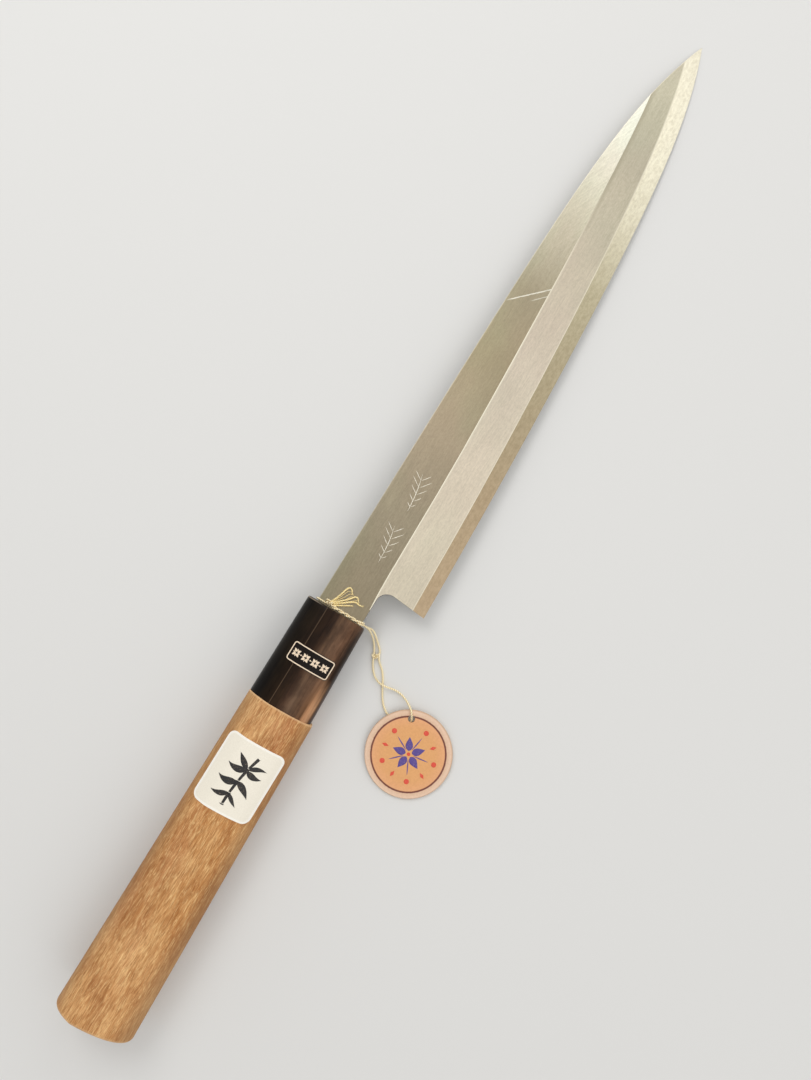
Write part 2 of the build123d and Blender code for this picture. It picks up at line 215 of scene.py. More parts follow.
class Nodes:
    """A node tree that is built up a step at a time."""

    def __init__(self, tree):
        self.tree = tree

    def link(self, source, target):
        """Join a value to a socket, or set a plain one there, which is a display colour for a colour."""
        if isinstance(source, Value):
            self.tree.links.new(source.socket, target)
        elif target.type == "RGBA":
            target.default_value = colour(*source)
        else:
            target.default_value = source

    def node(self, kind, sources=(), output=0, **settings):
        """A node with its settings and its inputs, each by place or name, as the value it puts out."""
        made = self.tree.nodes.new("ShaderNode" + kind)
        for setting, value in settings.items():
            setattr(made, setting, value)
        for place, source in dict(sources).items():
            self.link(source, made.inputs[place])
        return Value(self, made.outputs[output])

    def maths(self, operation, *sources):
        """One step of arithmetic."""
        return self.node("Math", enumerate(sources), operation=operation)

    def vectors(self, operation, *sources, output="Vector"):
        """One step of arithmetic on vectors."""
        return self.node("VectorMath", enumerate(sources), output, operation=operation)

    def axes(self, vector):
        """The three coordinates of a vector."""
        split = self.node("SeparateXYZ", {0: vector}).socket.node
        return [Value(self, axis) for axis in split.outputs]

    def span(self, source, low, high, start=0, end=1):
        """A value between low and high, spread evenly from start to end and held outside."""
        sources = {"Value": source, "From Min": low, "From Max": high, "To Min": start, "To Max": end}
        return self.node("MapRange", sources, "Result")


class Finish(Nodes):
    """A node material whose coordinates are millimetres in the knife's own frame."""

    def __init__(self, name, **sockets):
        self.material = bpy.data.materials.new(name)
        self.material.use_nodes = True
        super().__init__(self.material.node_tree)
        self.shader = self.tree.nodes["Principled BSDF"]
        for socket, value in sockets.items():
            self.link(value, self.shader.inputs[socket.replace("_", " ")])
        place = {"Scale": (1 / MM,) * 3, "Rotation": (0, -LEAN, 0)}
        place["Location"] = (-MOUTH @ ALONG, -MOUTH[1], -MOUTH @ UP)
        place["Vector"] = self.node("TexCoord", output="Object")
        self.here = self.node("Mapping", place)
        self.x, self.y, self.z = self.axes(self.here)

    def noise(self, scale, along=1, detail=3, roughness=0.5, distortion=0, across=1, where=None):
        """Noise from 0 to 1, of a scale in waves to the millimetre, stretched where a factor is small."""
        sources = {"Scale": scale, "Detail": detail, "Roughness": roughness, "Distortion": distortion}
        sources["Vector"] = self.vectors("MULTIPLY", where or self.here, (along, across, 1))
        return self.node("TexNoise", sources, "Fac")

    def ramp(self, source, *stops):
        """Display colours along a value: each stop is a place from 0 to 1, red, green and blue."""
        made = self.node("ValToRGB", {"Fac": source})
        elements = made.socket.node.color_ramp.elements
        while len(elements) < len(stops):
            elements.new(0.5)
        for element, (place, *shade) in zip(elements, stops):
            element.position = place
            element.color = colour(*shade)
        return made

    def mix(self, share, first, second, blend="MIX"):
        """Two colours mixed by a share."""
        return self.node("Mix", {0: share, 6: first, 7: second}, 2, data_type="RGBA", blend_type=blend)

    def veiled(self, tone, share, source, low, high, shade):
        """A tone multiplied by a shade where a value is low, and left as it is where it is high."""
        shades = self.ramp(source, (low, *shade), (high, 255, 255, 255))
        return self.mix(share, tone, shades, "MULTIPLY")

    def lay(self, share, shade, blend="MIX"):
        """Lay a shade over the finish's tone so far, by a share."""
        self.tone = self.mix(share, self.tone, shade, blend)

    def veil(self, *veil):
        """Veil the finish's tone so far."""
        self.tone = self.veiled(self.tone, *veil)

    def turned(self, angle):
        """The coordinates turned about the height, for a texture that runs askew to the blade."""
        return self.node("VectorRotate", {"Vector": self.here, "Angle": angle}, rotation_type="Z_AXIS")

    def facing(self, direction):
        """How far the surface faces a direction, from -1 to 1."""
        normal = self.node("TexCoord", output="Normal")
        return self.vectors("DOT_PRODUCT", normal, tuple(direction), output="Value")

    def blade_wall(self, upward, lines, shade):
        """The blade's thin sides: ground along their length, and darkened round the neck's corner as painted
        shade.
        """
        ground = self.veiled(shade, 0.7, lines, 0.34, 0.62, (176, 172, 164))
        # Painted shade round the neck's corner.
        corner = self.span(self.x, 30, 16) * self.span(self.y, -8, -13)
        self.lay(self.span(abs(upward), 0.6, 0.3), self.mix(corner, ground, (104, 95, 84)))

    def growth_rings(self):
        """Noise along the distance from a line below the edge side: the tree's rings, seen end on."""
        across, height = self.y + 31.0, self.z + 22.0
        far = self.maths("SQRT", across * across + height * height)
        place = self.node("CombineXYZ", {0: self.noise(0.12, detail=2) * 2.0 + far})
        return self.noise(0.75, detail=4, roughness=0.7, where=place)

    def bump(self, height, depth):
        """Relief of a depth in millimetres."""
        relief = self.node("Bump", {"Distance": depth * MM, "Height": height})
        self.link(relief, self.shader.inputs["Normal"])

    def done(self, roughness):
        """Join the tone and the roughness, and give the material."""
        self.link(self.tone, self.shader.inputs["Base Color"])
        self.link(roughness, self.shader.inputs["Roughness"])
        return self.material


def iron_finish():
    """Soft iron: the face hazier towards the point and painted lighter there as a reflection, the bevel
    satin, both ground along the blade.
    """
    f = Finish("soft iron", Metallic=1)
    along = f.span(f.x, 0, REACH)
    upward = f.facing(UP)
    bevel = f.span(upward, 0.995, 0.988) * f.span(upward, 0.1, 0.4)
    face = f.span(bevel, 1, 0)
    # The face's tone is painted lighter towards the point: a painted reflection over the iron's own colour.
    face_tone_and_painted_reflection = f.ramp(
        along,
        (0, 178, 167, 140), (0.14, 178, 168, 144), (0.28, 184, 171, 146), (0.42, 174, 161, 134),
        (0.53, 172, 164, 139), (0.6, 192, 186, 164), (0.68, 212, 207, 187), (0.77, 229, 226, 210),
        (0.85, 241, 238, 227), (1, 242, 239, 227),
    )
    bevel_tone = f.ramp(
        along,
        (0.07, 221, 211, 190), (0.24, 231, 220, 199), (0.42, 227, 215, 196), (0.6, 213, 202, 182),
        (0.78, 193, 186, 165), (1, 202, 195, 174),
    )
    lines = f.noise(2.4, 0.05, 4, 0.7)
    speckle = f.noise(2.0, 0.5, 4, 0.8)
    hairs = f.noise(2.6, 0.07, 3, 0.6, where=f.turned(math.radians(24)))
    clouds = f.noise(0.07, 0.6, 4, 0.55)
    warmth = f.noise(0.05, 0.5, 3, 0.5)
    patchy = f.noise(0.5, detail=4, roughness=0.7)
    f.tone = f.mix(bevel, face_tone_and_painted_reflection, bevel_tone)
    f.veil(0.22, lines, 0.32, 0.66, (175, 175, 175))
    f.veil(0.32, speckle, 0.32, 0.62, (188, 186, 180))
    f.veil(0.25, clouds, 0.3, 0.7, (205, 205, 205))
    cast = f.ramp(warmth, (0.38, 248, 255, 240), (0.62, 255, 243, 238))
    f.lay(f.span(bevel, 0, 1, 0.4, 0.2), cast, "MULTIPLY")
    worked = f.span(f.x, 120, 150, 0, 0.2) * face
    f.veil(worked, hairs, 0.36, 0.6, (186, 182, 170))
    below = f.x * -TAPER + (HEEL_THICKNESS + TAPER * NECK_LENGTH) - f.z
    # Painted shade along the bevel's top edge towards the point.
    shade = f.span(below, 0.26, 0.06) * f.span(f.x, 135, 165, 0, 0.5)
    f.lay(bevel * shade, (150, 142, 120))
    # Painted highlight along the ridge; the weld line laid with it is the lamination line, the metal's own
    # colour.
    ridge = f.span(below, 0.1, 0.02) * f.span(f.x, 165, 100)
    weld = f.span(f.z, STEEL_THICKNESS + 0.02, STEEL_THICKNESS + 0.075, 0.5, 0)
    f.lay(bevel * f.maths("MAXIMUM", ridge, weld), (243, 236, 214))
    # Painted highlight along the spine's edge.
    run = f.span(f.x, SPINE_STRAIGHT, REACH)
    from_spine = (run**2 * 0.25 + run**5 * 0.75) * -TIP_DROP - f.y
    f.lay(f.span(from_spine, 0.08, 0.34, 0.55, 0), (232, 224, 204))
    for foot, slant, width, strength, start in SCUFFS:
        off = abs(f.x - foot + f.y * slant + f.span(patchy, 0.2, 0.8, -0.2, 0.2))
        broken = f.span(off, width * 0.3, width, strength, 0) * f.span(patchy, 0.3, 0.5, 0.35, 1)
        f.lay(broken * f.span(f.y, start, start - 1.5) * face, (246, 242, 228))
    f.blade_wall(upward, lines, (196, 189, 172))
    f.bump(speckle * 0.5 + lines, 0.005)
    haze = lines * 0.12 + f.span(f.x, 0, REACH, 0.24, 0.36)
    return f.done(f.maths("MAXIMUM", haze, bevel * 0.42))


def steel_finish():
    """Hard steel: a finely honed strip beside the edge, and a hollow back with faint ring grinding."""
    f = Finish("hard steel", Metallic=1)
    upward = f.facing(UP)
    back = f.span(upward, 0.2, -0.2)
    hollow = back * f.span(f.z, 0.008, 0.035)
    # The strip's tone is painted lighter towards the point: a painted reflection over the steel's own
    # colour.
    strip_tone_and_painted_reflection = f.ramp(
        f.span(f.x, 0, REACH),
        (0.07, 186, 164, 134), (0.24, 190, 169, 138), (0.42, 188, 174, 143), (0.58, 198, 188, 158),
        (0.7, 228, 221, 196), (0.8, 237, 231, 208), (1, 230, 224, 203),
    )
    lines = f.noise(3.2, 0.05, 4, 0.7)
    rings = f.noise(1.8, 1, 4, 0.65, across=0.03)
    speckle = f.noise(1.1, 0.6, 4, 0.75)
    grain = f.mix(hollow, lines, rings)
    f.tone = f.mix(back, strip_tone_and_painted_reflection, f.mix(hollow, (232, 228, 216), (188, 186, 178)))
    f.veil(f.span(hollow, 0, 1, 0.2, 0.5), grain, 0.3, 0.7, (165, 165, 165))
    f.veil(f.span(back, 0, 1, 0.36, 0.06), speckle, 0.34, 0.6, (190, 182, 168))
    f.blade_wall(upward, lines, (222, 218, 206))
    f.bump(grain, 0.004)
    return f.done(grain * 0.14 + f.span(hollow, 0, 1, 0.26, 0.34))


def wood_finish():
    """Bare magnolia: soft blotches, wavy streaks and short dashes along the grain, with painted shade along
    the flanks and at the tang, and painted highlights on the rounded ends.
    """
    f = Finish("magnolia", Specular_IOR_Level=0.2)
    blotches = f.noise(0.06, 0.45, 4, 0.6, 0.8)
    flush = f.noise(0.09, 0.3, 3, 0.5)
    streaks = f.noise(0.35, 0.1, 4, 0.65, 0.8)
    waves = f.noise(1, 0.16, 4, 0.6, 1.4)
    dark = f.noise(2.8, 0.11, 3, 0.65, 0.8)
    pale = f.noise(2.4, 0.12, 3, 0.65, 1)
    pores = f.noise(6.5, 0.05, 2, 0.5, 0.6)
    f.tone = f.ramp(blotches, (0.38, 176, 116, 62), (0.5, 204, 148, 90), (0.62, 226, 176, 118))
    f.lay(f.span(flush, 0.5, 0.68, 0, 0.45), (206, 140, 98))
    heart = f.span(abs(f.x + 94.0), 24, 8) * f.span(f.y, -10, -6, 0, 0.34)
    f.lay(heart, (160, 104, 54))
    fresh = f.span(f.x, -60, -40) * f.span(f.y, -14, -6, 0.1, 0.42)
    f.lay(fresh, (250, 206, 150))
    f.lay(f.span(f.x, -98, -112, 0, 0.26), (240, 194, 140))
    f.veil(0.5, streaks, 0.34, 0.62, (208, 188, 160))
    f.veil(0.6, waves, 0.36, 0.6, (200, 168, 132))
    f.lay(f.span(dark, 0.5, 0.34, 0, 0.55), (138, 86, 40))
    f.lay(f.span(pale, 0.5, 0.68, 0, 0.55), (250, 212, 150))
    f.lay(f.span(pores, 0.54, 0.64, 0, 0.4), (128, 78, 38))
    # Painted shade along both flanks, where the handle rounds away from the light.
    reach = f.span(f.x, -FERRULE_LENGTH, -HANDLE_LENGTH, 9.2, 10.6)
    painted_flank_shade = f.span(abs(f.y + WOOD_MIDDLE) - reach, -3.0, 0.5, 0, 0.5)
    f.lay(painted_flank_shade, (146, 112, 76))
    # Painted highlight on the rounded edges of the butt and of the front.
    butt = f.span(f.x, -HANDLE_LENGTH + 1.1, -HANDLE_LENGTH + 0.3, 0, 0.5)
    front = f.span(f.x, -FERRULE_LENGTH - 0.6, -FERRULE_LENGTH - 0.2, 0, 0.5)
    f.lay(f.maths("MAXIMUM", butt, front), (234, 196, 150))
    end_grain = f.veiled((204, 154, 102), 0.9, f.growth_rings(), 0.4, 0.6, (196, 168, 138))
    end_grain = f.veiled(end_grain, 0.5, waves, 0.34, 0.62, (190, 164, 134))
    f.lay(f.span(f.facing(-ALONG), 0.8, 0.98), end_grain)
    # Painted shade on the tenon's face and sides by the tang.
    f.lay(f.span(f.x, -2.0, -0.6, 0, 0.97), (58, 40, 28))
    f.bump(dark * 0.6 + waves, 0.06)
    return f.done(f.span(dark, 0.2, 0.8, 0.72, 0.6))


def horn_finish():
    """Polished horn: near black by the spine, brown by the edge side, with a pale band on that flank,
    brightest at the rear, that is partly painted highlight, and painted shade at its outer edge.
    """
    f = Finish("buffalo horn", Specular_IOR_Level=0.12, IOR=1.54)
    wander = f.noise(0.1, 0.2, 3, 0.5)
    streaks = f.noise(0.7, 0.06, 5, 0.65)
    clouds = f.noise(0.22, 0.5, 4, 0.6)
    # Across the ferrule from the edge side: in both ramps the first stops are painted shade at the flank's
    # outer edge, and the pale band after them is horn colour with a painted highlight.
    across = f.span(f.y + f.span(wander, 0.2, 0.8, -1, 1), -18, 4)
    clear = f.ramp(
        across,
        (0, 40, 22, 12), (0.03, 94, 64, 42), (0.07, 204, 156, 116), (0.14, 200, 148, 106),
        (0.19, 118, 82, 54), (0.3, 104, 76, 54), (0.37, 108, 83, 63), (0.45, 88, 62, 44),
        (0.51, 56, 37, 20), (0.68, 38, 26, 14), (0.8, 20, 14, 8), (1, 12, 8, 5),
    )
    dull = f.ramp(
        across,
        (0, 22, 12, 7), (0.09, 50, 31, 19), (0.14, 112, 82, 60), (0.19, 126, 92, 68),
        (0.3, 116, 86, 63), (0.38, 100, 74, 53), (0.45, 62, 41, 25), (0.52, 44, 27, 14),
        (0.75, 32, 23, 12), (1, 18, 14, 8),
    )
    f.tone = f.mix(f.span(f.x, -18, -28), dull, clear)
    f.veil(0.5, streaks, 0.36, 0.62, (120, 104, 92))
    f.veil(0.55, clouds, 0.4, 0.58, (130, 114, 100))
    # Painted highlight along the ridge.
    off_ridge = abs(f.y + (RIDGE_OFFSET - FERRULE_FRONT[3]))
    ridge = f.span(off_ridge, 0.03, 0.13, 0.4, 0) * f.span(f.z, 6, 8)
    f.lay(ridge, (132, 108, 86))
    # Painted highlight along the front lip on the spine side.
    lip = f.span(abs(f.x + 0.32), 0.1, 0.2, 0.5, 0) * f.span(f.y, -3, 0.5)
    f.lay(lip, (190, 172, 150))
    f.bump(streaks, 0.01)
    return f.done(f.span(streaks, 0.2, 0.8, 0.24, 0.36))


def paper_finish(name, shade, place, rim_shade, gloss):
    """Paper of one shade with fine fibres, and another shade along the rim of its rounded outline."""
    f = Finish(name, Specular_IOR_Level=gloss)
    corner = place["corner"]
    along, across = (
        f.maths("MAXIMUM", abs(axis - middle) - (size / 2 - corner), 0)
        for axis, middle, size in zip((f.x, f.y), place["centre"], place["size"])
    )
    from_corner = f.maths("SQRT", along * along + across * across)
    fibres = f.noise(3.0, detail=4, roughness=0.7)
    f.tone = f.mix(f.span(from_corner, corner - 0.75, corner - 0.45), shade, rim_shade)
    f.veil(0.25, fibres, 0.3, 0.7, (205, 200, 192))
    f.bump(fibres, 0.01)
    return f.done(f.span(fibres, 0, 1, 0.38, 0.5))


def ink_finish(name, shade):
    """Printed ink, a little thin in places."""
    f = Finish(name)
    wear = f.noise(2.2, detail=4, roughness=0.7)
    f.tone = f.mix(f.span(wear, 0.55, 0.8, 0, 0.35), shade, (232, 200, 165))
    return f.done(f.span(wear, 0, 1, 0.5, 0.6))


def card_finish():
    """Tag card: an orange face inside a printed ring, with a paler rim darkened at its outer edge as painted
    shade, and a plain underside.
    """
    f = Finish("tag card")
    off = f.vectors("SUBTRACT", f.here, (*(TAG_SPOT - MOUTH[:2]), 0))
    from_centre = f.vectors("LENGTH", f.vectors("MULTIPLY", off, (1, 1, 0)), output="Value")
    fibres = f.noise(1.6, detail=5, roughness=0.7)
    # The last stop darkens the card's outer edge: painted shade.
    f.tone = f.ramp(
        f.span(fibres * 0.25 + from_centre, 0, 14),
        (0, 231, 173, 112), (0.6, 229, 170, 113), (0.8, 234, 173, 124), (0.815, 112, 58, 48),
        (0.838, 116, 62, 52), (0.852, 226, 190, 160), (0.94, 236, 204, 178), (0.972, 206, 170, 140),
    )
    f.lay(f.span(f.facing((0, 0, 1)), 0.2, -0.2), (222, 198, 168))
    f.veil(0.3, fibres, 0.3, 0.7, (206, 186, 160))
    f.bump(fibres, 0.015)
    return f.done(f.span(fibres, 0, 1, 0.62, 0.78))


def thread_finish(name, dull, middle, bright):
    """Gilt thread: the two strands painted bright on their crowns as highlights, and dark where they meet as
    painted shade.
    """
    f = Finish(name, Metallic=0.35, Sheen_Weight=0.2)
    turn = f.axes(f.node("TexCoord", output="UV"))[0]
    fibres = f.noise(6.0, roughness=0.7)
    # Painted highlight on each strand's crown and painted shade in the groove between the strands.
    strand = abs(f.maths("COSINE", turn))
    f.tone = f.ramp(fibres * 0.3 + strand * 0.8, (0.1, *dull), (0.4, *middle), (0.85, *bright))
    return f.done(f.span(fibres, 0, 1, 0.34, 0.55))


def resin_finish():
    """Dark resin with a soft mottle."""
    f = Finish("resin")
    mottle = f.noise(0.9, detail=3)
    f.tone = f.ramp(mottle, (0.3, 34, 24, 18), (0.7, 58, 42, 30))
    return f.done(f.span(mottle, 0, 1, 0.3, 0.45))


def scratch_finish():
    """Freshly cut iron."""
    f = Finish("scratch", Metallic=1)
    f.tone = f.ramp(f.noise(2.0), (0.3, 220, 212, 190), (0.7, 255, 250, 235))
    return f.done(0.5)


def placed(name, data):
    """A new object in the scene."""
    made = bpy.data.objects.new(name, data)
    bpy.context.scene.collection.objects.link(made)
    return made


def piece(name, points, faces, material, replaces=(), sharp=math.radians(30), uv=None):
    """A mesh in its place, riding on the knife, with its normals pointing outwards."""
    mesh = bpy.data.meshes.new(name)
    mesh.from_pydata(points.tolist(), [], faces)
    if uv is not None:
        corners = np.empty(len(mesh.loops), int)
        mesh.loops.foreach_get("vertex_index", corners)
        mesh.uv_layers.new(name="UVMap").data.foreach_set("uv", uv[corners].ravel())
    shape = bmesh.new()
    shape.from_mesh(mesh)
    bmesh.ops.recalc_face_normals(shape, faces=shape.faces)
    shape.to_mesh(mesh)
    shape.free()
    mesh.shade_smooth()
    mesh.set_sharp_from_angle(angle=sharp)
    mesh.materials.append(material)
    made = placed(name, mesh)
    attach(made, "root")
    if replaces:
        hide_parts(*replaces)
    return made


def ring_faces(rows, columns, loop=False, start=0):
    """Faces between rings of points, which join end to end or have a fan over each end."""
    index = np.arange(rows * columns).reshape(rows, columns) + start
    low, high = (index, np.roll(index, -1, 0)) if loop else (index[:-1], index[1:])
    faces = np.stack([low, np.roll(low, -1, 1), np.roll(high, -1, 1), high], -1).reshape(-1, 4).tolist()
    if not loop:
        for ring, middle in ((index[0], rows * columns), (index[-1], rows * columns + 1)):
            hub = np.full(columns, middle + start)
            faces += np.stack([hub, np.roll(ring, -1), ring], -1).tolist()
    return faces


def capped(rings):
    """The points of a stack of rings, followed by the middle of the first and of the last ring."""
    return np.concatenate([rings.reshape(-1, 3), rings[:1].mean(1), rings[-1:].mean(1)])


def ringed(name, rings, finish, replaces=(), loop=False):
    """A piece from a stack of rings of points."""
    points = rings.reshape(-1, 3) if loop else capped(rings)
    return piece(name, points, ring_faces(*rings.shape[:2], loop), finish, replaces)


def bezier(a, b, c, d):
    """Points along the cubic Bezier curve of four corners, up to just before its end."""
    t = np.linspace(0, 1, 90)[:-1, None]
    return (1 - t) ** 3 * a + 3 * (1 - t) ** 2 * t * b + 3 * (1 - t) * t**2 * c + t**3 * d


def unit(vectors):
    """Vectors at length one."""
    return vectors / np.linalg.norm(vectors, axis=-1, keepdims=True)


def left_of(way):
    """A plan direction turned left by a right angle."""
    return np.stack([-way[..., 1], way[..., 0]], -1)


def run_along(path):
    """The length of a path up to each of its points."""
    return np.concatenate([[0], np.cumsum(np.linalg.norm(np.diff(path, axis=0), axis=1))])


def taken_at(places, run, path):
    """Points at places along a path, whose own points are at the lengths in a run."""
    return np.stack([np.interp(places, run, column) for column in path.T], -1)


def evenly(line, count):
    """A closed line of points taken again at even steps of its length."""
    line = np.concatenate([line, line[:1]])
    run = run_along(line)
    return taken_at(np.linspace(0, run[-1], count, endpoint=False), run, line)


def section(sizes, grow=0):
    """The handle's D shape as (y, z): a ridge over the spine side, round flanks and a flat foot.

    Four Bezier quarters and a line, taken at even steps and averaged over a short window, which
    rounds the ridge as polishing does.
    """
    width, top, depth, stand = sizes
    near, far = stand + grow, stand - width - grow
    ridge, ridge_z, foot_z = stand - RIDGE_OFFSET, top + grow, -depth - grow
    foot, half_foot = stand - FOOT_CENTRE_SHARE * width, FOOT_WIDTH_SHARE * width / 2
    near_z, far_z = ridge_z - INNER_SLOPE * (near - ridge), ridge_z - OUTER_SLOPE * (ridge - far)
    quarters = (
        ((near, SPINE_SIDE_HEIGHT), (near, ridge_z), (near, near_z), (ridge, ridge_z)),
        ((ridge, ridge_z), (far, far_z), (far, ridge_z), (far, EDGE_SIDE_HEIGHT)),
        ((far, EDGE_SIDE_HEIGHT), (far, foot_z), (far, foot_z), (foot - half_foot, foot_z)),
        ((foot + half_foot, foot_z), (near, foot_z), (near, foot_z), (near, SPINE_SIDE_HEIGHT)),
    )
    curves = []
    for a, b, c, d in (np.array(quarter) for quarter in quarters):
        curves.append(bezier(a, a + ROUND_SHARE * (b - a), d + ROUND_SHARE * (c - d), d))
    line = evenly(np.concatenate(curves), SECTION_POINTS)
    window = range(-SECTION_WINDOW, SECTION_WINDOW + 1)
    return sum(np.roll(line, step, 0) for step in window) / len(window)


def ferrule_sizes(x):
    """Section sizes of the ferrule at x."""
    return FERRULE_FRONT + (FERRULE_REAR - FERRULE_FRONT) * (-x / FERRULE_LENGTH)


def grip_sizes(x):
    """Section sizes of the wooden grip at x."""
    share = (-x - FERRULE_LENGTH) / (HANDLE_LENGTH - FERRULE_LENGTH)
    return GRIP_FRONT + (GRIP_REAR - GRIP_FRONT) * share


def ring(x, line):
    """A section's points at x, in the knife's frame."""
    return np.column_stack([np.full(len(line), x), line])


def rounded_end(x, sizes, radius, inward):
    """Rings of a quarter-round edge at x, from the flank to the end face, which is at x."""
    turn = np.linspace(0, math.pi / 2, 7)
    return [
        ring(x + inward * radius * (1 - math.sin(t)), section(sizes(x), -radius * (1 - math.cos(t))))
        for t in turn
    ]


def from_slot(line, reach):
    """Points in a line's directions from the slot's centre, on a circle or a rectangle about it."""
    away = line[:, 1:] - SLOT_CENTRE
    if np.ndim(reach) == 0:
        away = unit(away) * reach
    else:
        away = away * (reach / np.maximum(np.abs(away), 1e-9)).min(1, keepdims=True)
    return SLOT_CENTRE + away


def wooden_handle(finish):
    """The grip with a rounded butt, its tenon in the ferrule and the slot for the tang."""
    butt = rounded_end(-HANDLE_LENGTH, grip_sizes, BUTT_ROUNDING, 1)[::-1]
    front = rounded_end(-FERRULE_LENGTH, grip_sizes, WOOD_LIP_ROUNDING, -1)
    stations = np.linspace(-HANDLE_LENGTH + 6, -FERRULE_LENGTH - 6, 9)
    middle = [ring(x, section(grip_sizes(x))) for x in stations]
    rim = front[-1]
    tenon = [ring(-FERRULE_LENGTH, from_slot(rim, TENON_RADIUS)), ring(0, from_slot(rim, TENON_RADIUS))]
    slot = [ring(0, from_slot(rim, SLOT_HALF)), ring(-SLOT_DEPTH, from_slot(rim, SLOT_HALF))]
    rings = on_table(np.stack(butt + middle + front + tenon + slot))
    return ringed("handle_wood", rings, finish, ["wood_handle"])


def horn_ferrule(finish):
    """The ferrule: a D-shaped tube with a rounded front lip and a round bore."""
    front = rounded_end(0, ferrule_sizes, HORN_LIP_ROUNDING, -1)
    back = [ring(x, section(ferrule_sizes(x))) for x in np.linspace(-FERRULE_LENGTH, -2, 6)]
    rim = front[-1]
    bore = [ring(0, from_slot(rim, BORE_RADIUS)), ring(-FERRULE_LENGTH, from_slot(rim, BORE_RADIUS))]
    rings = on_table(np.stack(back + front + bore))
    return ringed("ferrule_horn", rings, finish, ["horn_ferrule"], loop=True)


def on_handle(sizes):
    """A function that puts plan points on top of the handle, at a lift off it."""

    def put(plan, lift):
        x, y = plan[..., 0], plan[..., 1]
        near, far = x.min() - 0.01, x.max() + 0.01
        heights = []
        for station in (near, far):
            line = section(sizes(station), lift)
            upper = line[line[:, 1] > SPINE_SIDE_HEIGHT]
            upper = upper[np.argsort(upper[:, 0])]
            heights.append(np.interp(y, upper[:, 0], upper[:, 1]))
        share = (x - near) / (far - near)
        return on_table(np.stack([x, y, heights[0] * (1 - share) + heights[1] * share], -1))

    return put


def on_blade(plan, lift):
    """Plan points put on the blade's flat face, at a lift off it."""
    height = HEEL_THICKNESS - TAPER * (plan[..., :1] - NECK_LENGTH) + lift
    return on_table(np.concatenate([plan, height], -1))


def on_tag(plan, lift):
    """Points measured from the tag's centre put on the tilted tag, at a lift off its underside."""
    lean = math.asin(TAG_LIFT / (2 * TAG_RADIUS))
    way = np.array([math.cos(TAG_TURN), math.sin(TAG_TURN)])
    u, v = plan[..., :1] + TAG_RADIUS, plan[..., 1:]
    run = u * math.cos(lean) - lift * math.sin(lean) - TAG_RADIUS
    height = u * math.sin(lean) + lift * math.cos(lean)
    return np.concatenate([TAG_SPOT + run * way + v * left_of(way), height], -1) * MM


def rounded_rectangle(place, inset=0):
    """A label's plan outline: four quarter arcs joined by lines."""
    reach = np.array(place["size"]) / 2 - place["corner"]
    turn = np.linspace(0, math.pi / 2, 9)
    arcs = [
        reach * (sx, sy)
        + (place["corner"] - inset) * np.stack([np.cos(turn + start), np.sin(turn + start)], -1)
        for sx, sy, start in ((1, 1, 0), (-1, 1, math.pi / 2), (-1, -1, math.pi), (1, -1, 1.5 * math.pi))
    ]
    return place["centre"] + evenly(np.concatenate(arcs), 120)


def label(name, place, sizes, finish, replaced):
    """A paper label: a rounded rectangle bent over the handle, with a closed rim."""
    shares = np.linspace(0.02, 1, 14)[:, None, None]
    plan = place["centre"] + shares * (rounded_rectangle(place) - place["centre"])
    put = on_handle(sizes)
    rings = np.concatenate([put(plan, LABEL_THICKNESS), put(plan[::-1], 0)])
    return ringed(name, rings, finish, [replaced])


TAPERS = {
    "brush": lambda t: np.maximum(np.sin(math.pi * t) ** 0.7, 0.1),
    "leaf": lambda t: np.maximum(np.sin(math.pi * t**0.7), 0.03),
    "stem": lambda t: 1.0 - 0.25 * t,
    "lozenge": lambda t: np.maximum(1 - np.abs(2 * t - 1), 0.02),
    "dot": lambda t: np.maximum(np.sqrt(1 - np.minimum(np.abs(2 * t - 1), 1) ** 2), 0.02),
}


def strokes(name, marks, put, lift, finish, centre=(0, 0)):
    """Printed or cut marks lying on a surface, at a lift off it.

    Each mark is a quadratic Bezier from its start past its bend to its end, with a width that
    its taper shares out along the run.
    """
    rows, columns = 21, 7
    t = np.linspace(0, 1, rows)
    points, faces = [], []
    for number, (start, bend, end, width, taper) in enumerate(marks):
        start, bend, end = (np.add(corner, centre) for corner in (start, bend, end))
        line = np.outer((1 - t) ** 2, start) + np.outer(2 * t * (1 - t), bend) + np.outer(t**2, end)
        side = left_of(unit(np.gradient(line, axis=0))) * (width / 2 * TAPERS[taper](t))[:, None]
        plan = line[:, None] + side[:, None] * np.linspace(-1, 1, columns)[:, None]
        points.append(put(plan, lift).reshape(-1, 3))
        index = np.arange(rows * columns).reshape(rows, columns) + number * rows * columns
        quads = np.stack([index[:-1, :-1], index[:-1, 1:], index[1:, 1:], index[1:, :-1]], -1)
        faces += quads.reshape(-1, 4).tolist()
    made = piece(name, np.concatenate(points), faces, finish)
    skin = made.modifiers.new("thickness", "SOLIDIFY")
    skin.thickness = PRINT_THICKNESS * MM
    skin.offset = 0
    return made


def border(name, place, sizes, finish):
    """A printed line just inside a label's rim, as a closed low band."""
    plans = np.stack([rounded_rectangle(place, inset) for inset in (0.14, 0.3, 0.46)])
    put = on_handle(sizes)
    top = put(plans, LABEL_THICKNESS + 1.5 * PRINT_THICKNESS)
    foot = put(plans[::-1], LABEL_THICKNESS - PRINT_THICKNESS)
    return ringed(name, np.concatenate([top, foot]), finish, loop=True)


